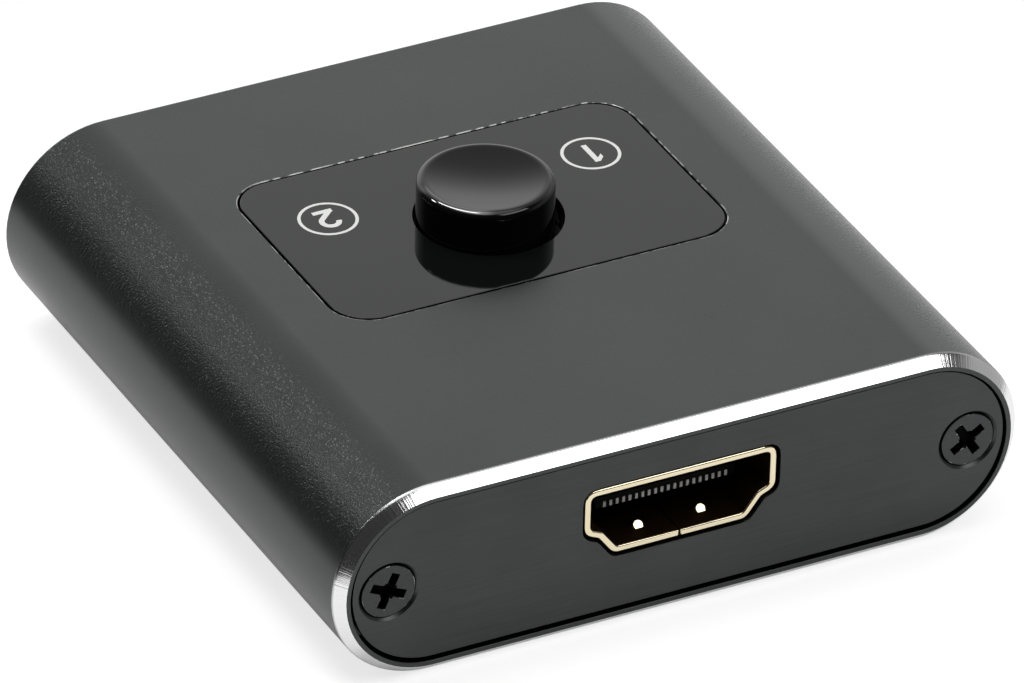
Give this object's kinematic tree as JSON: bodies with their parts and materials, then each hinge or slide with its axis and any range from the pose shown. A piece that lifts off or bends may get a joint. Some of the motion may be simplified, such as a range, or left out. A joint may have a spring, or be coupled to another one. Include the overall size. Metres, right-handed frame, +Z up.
{
  "type": "video switch box",
  "caption": "Low metal switch box with rounded sides: a latching push button in a glossy top panel picks which rear video port is joined to the front port.",
  "frame": {"origin": "middle of the underside that the box stands on", "axes": "+Z up through the button; -Y is the front with the single port; +X is the right seen from the front"},
  "size_m": [0.0534, 0.054, 0.0184],
  "materials": {
    "sleeve_anodise": "dark grey fine-blasted anodise, bright bevels cut round both ends",
    "plate_black": "black anodise over faint level brushing",
    "screw_black": "blackened steel, satin",
    "panel_gloss": "black acrylic, mirror gloss",
    "cap_gloss": "black moulded plastic, high gloss",
    "plunger_white": "natural white acetal",
    "housing_black": "black moulded plastic",
    "base_brown": "brown phenolic",
    "contact_brass": "rolled brass strip",
    "spring_steel": "drawn steel wire",
    "board_green": "green solder mask over glass board",
    "shell_gilt": "pale gold plate, bright",
    "insulator_black": "black moulded plastic",
    "contact_gilt": "gold plate",
    "chip_black": "black moulding compound",
    "capacitor_tan": "tan ceramic with tinned ends",
    "light_pale": "pale clear resin"
  },
  "bodies": {
    "case": {"sleeve": "sleeve_anodise", "front_plate": "plate_black", "rear_plate": "plate_black", "front_screws": "screw_black", "rear_screws": "screw_black", "top_panel": "panel_gloss", "return_spring": "spring_steel", "switch_housing": "housing_black", "switch_base": "base_brown", "switch_terminals": "contact_brass", "circuit_board": "board_green", "routing_chip": "chip_black", "regulator": "chip_black", "capacitors": "capacitor_tan", "resistors": "chip_black", "surge_arrays": "chip_black", "indicator_lights": "light_pale", "front_port_shell": "shell_gilt", "front_port_insulator": "insulator_black", "front_port_contacts": "contact_gilt", "left_port_shell": "shell_gilt", "left_port_insulator": "insulator_black", "left_port_contacts": "contact_gilt", "right_port_shell": "shell_gilt", "right_port_insulator": "insulator_black", "right_port_contacts": "contact_gilt"},
    "button": {"button_cap": "cap_gloss", "switch_plunger": "plunger_white", "moving_contacts": "contact_brass"},
    "latch": {"latch_pin": "spring_steel"}
  },
  "joints": [
    {"name": "button_press", "type": "slide", "parent": "case", "child": "button", "axis": [0, 0, -1], "range_m": [0, 0.002], "stiffness_N_per_m": 800, "deforming": ["return_spring"]},
    {"name": "latch_swing", "type": "hinge", "parent": "case", "child": "latch", "pos_m": [-0.00022, 0.0052, 0.0066], "axis": [0, 1, 0], "range_deg": [0, 9]}
  ],
  "couplings": [
    {"joint": "latch_swing", "follows": "button_press", "rad_per_m": 69.8}
  ]
}
